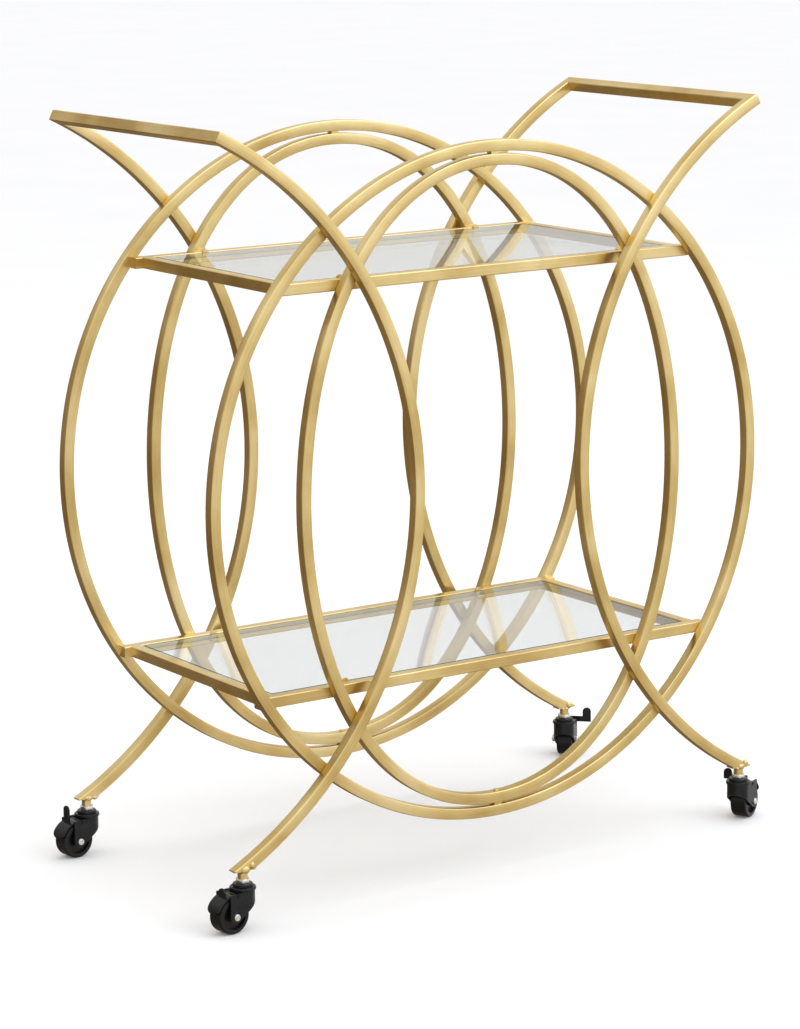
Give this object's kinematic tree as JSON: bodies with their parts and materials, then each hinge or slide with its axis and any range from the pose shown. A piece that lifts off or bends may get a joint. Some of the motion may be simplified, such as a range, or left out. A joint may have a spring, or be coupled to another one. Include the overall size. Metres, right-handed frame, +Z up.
{
  "type": "bar cart",
  "caption": "Bar cart on swivel casters: ring, oval and bowed square-tube side frames carry two glass shelves, with a push bar at each end.",
  "frame": {"origin": "on the floor, under the crossing of the cart's two symmetry planes", "axes": "+X along the length, to the right seen from the front; +Y from the front side frame to the back one; +Z up"},
  "size_m": [0.7389, 0.3777, 0.8193],
  "materials": {
    "gold_frame": "satin brushed gold",
    "clear_glass": "clear, pale green at the edges",
    "soft_pad": "soft translucent",
    "zinc": "zinc plated",
    "bearing_steel": "polished",
    "black_wheel": "matt black",
    "black_lever": "semi-gloss black",
    "black_fork": "semi-gloss black"
  },
  "bodies": {
    "cart": {"front_ring": "gold_frame", "front_oval": "gold_frame", "front_left_arc": "gold_frame", "front_right_arc": "gold_frame", "front_weld_tacks": "gold_frame", "back_ring": "gold_frame", "back_oval": "gold_frame", "back_left_arc": "gold_frame", "back_right_arc": "gold_frame", "back_weld_tacks": "gold_frame", "left_handle": "gold_frame", "right_handle": "gold_frame", "oval_screws": "gold_frame", "upper_front_rail": "gold_frame", "upper_back_rail": "gold_frame", "upper_left_rail": "gold_frame", "upper_right_rail": "gold_frame", "upper_glass": "clear_glass", "upper_glass_clips": "gold_frame", "upper_glass_pads": "soft_pad", "lower_front_rail": "gold_frame", "lower_back_rail": "gold_frame", "lower_left_rail": "gold_frame", "lower_right_rail": "gold_frame", "lower_glass": "clear_glass", "lower_glass_clips": "gold_frame", "lower_glass_pads": "soft_pad", "leg_plates": "gold_frame", "leg_bushes": "gold_frame", "lock_nuts": "zinc", "caster_stems": "zinc", "swivel_caps": "black_fork", "bearing_balls": "bearing_steel"},
    "front_left_swivel": {"front_left_fork": "black_fork", "front_left_axle_bolt": "zinc", "front_left_axle_nut": "zinc", "front_left_lever_pin": "zinc"},
    "front_left_roller": {"front_left_wheel": "black_wheel"},
    "front_left_brake": {"front_left_brake_lever": "black_lever"},
    "back_left_swivel": {"back_left_fork": "black_fork", "back_left_axle_bolt": "zinc", "back_left_axle_nut": "zinc", "back_left_lever_pin": "zinc"},
    "back_left_roller": {"back_left_wheel": "black_wheel"},
    "back_left_brake": {"back_left_brake_lever": "black_lever"},
    "front_right_swivel": {"front_right_fork": "black_fork", "front_right_axle_bolt": "zinc", "front_right_axle_nut": "zinc", "front_right_lever_pin": "zinc"},
    "front_right_roller": {"front_right_wheel": "black_wheel"},
    "front_right_brake": {"front_right_brake_lever": "black_lever"},
    "back_right_swivel": {"back_right_fork": "black_fork", "back_right_axle_bolt": "zinc", "back_right_axle_nut": "zinc", "back_right_lever_pin": "zinc"},
    "back_right_roller": {"back_right_wheel": "black_wheel"},
    "back_right_brake": {"back_right_brake_lever": "black_lever"}
  },
  "joints": [
    {"name": "front_left_swivel", "type": "hinge", "parent": "cart", "child": "front_left_swivel", "pos_m": [-0.32937, -0.1635, 0.043], "axis": [0, 0, 1], "continuous": true},
    {"name": "front_left_wheel_spin", "type": "hinge", "parent": "front_left_swivel", "child": "front_left_roller", "pos_m": [-0.34727, -0.16538, 0.019], "axis": [0.1045, -0.9945, 0], "continuous": true},
    {"name": "front_left_brake_press", "type": "hinge", "parent": "front_left_swivel", "child": "front_left_brake", "pos_m": [-0.34354, -0.16499, 0.04027], "axis": [0.1045, -0.9945, 0], "range_deg": [0, 5]},
    {"name": "back_left_swivel", "type": "hinge", "parent": "cart", "child": "back_left_swivel", "pos_m": [-0.32937, 0.1635, 0.043], "axis": [0, 0, 1], "continuous": true},
    {"name": "back_left_wheel_spin", "type": "hinge", "parent": "back_left_swivel", "child": "back_left_roller", "pos_m": [-0.34727, 0.16162, 0.019], "axis": [0.1045, -0.9945, 0], "continuous": true},
    {"name": "back_left_brake_press", "type": "hinge", "parent": "back_left_swivel", "child": "back_left_brake", "pos_m": [-0.34354, 0.16201, 0.04027], "axis": [0.1045, -0.9945, 0], "range_deg": [0, 5]},
    {"name": "front_right_swivel", "type": "hinge", "parent": "cart", "child": "front_right_swivel", "pos_m": [0.32937, -0.1635, 0.043], "axis": [0, 0, 1], "continuous": true},
    {"name": "front_right_wheel_spin", "type": "hinge", "parent": "front_right_swivel", "child": "front_right_roller", "pos_m": [0.34541, -0.15533, 0.019], "axis": [-0.454, 0.891, 0], "continuous": true},
    {"name": "front_right_brake_press", "type": "hinge", "parent": "front_right_swivel", "child": "front_right_brake", "pos_m": [0.34207, -0.15703, 0.04027], "axis": [-0.454, 0.891, 0], "range_deg": [0, 5]},
    {"name": "back_right_swivel", "type": "hinge", "parent": "cart", "child": "back_right_swivel", "pos_m": [0.32937, 0.1635, 0.043], "axis": [0, 0, 1], "continuous": true},
    {"name": "back_right_wheel_spin", "type": "hinge", "parent": "back_right_swivel", "child": "back_right_roller", "pos_m": [0.3421, 0.17623, 0.019], "axis": [-0.7071, 0.7071, 0], "continuous": true},
    {"name": "back_right_brake_press", "type": "hinge", "parent": "back_right_swivel", "child": "back_right_brake", "pos_m": [0.33945, 0.17358, 0.04027], "axis": [-0.7071, 0.7071, 0], "range_deg": [0, 5]}
  ]
}
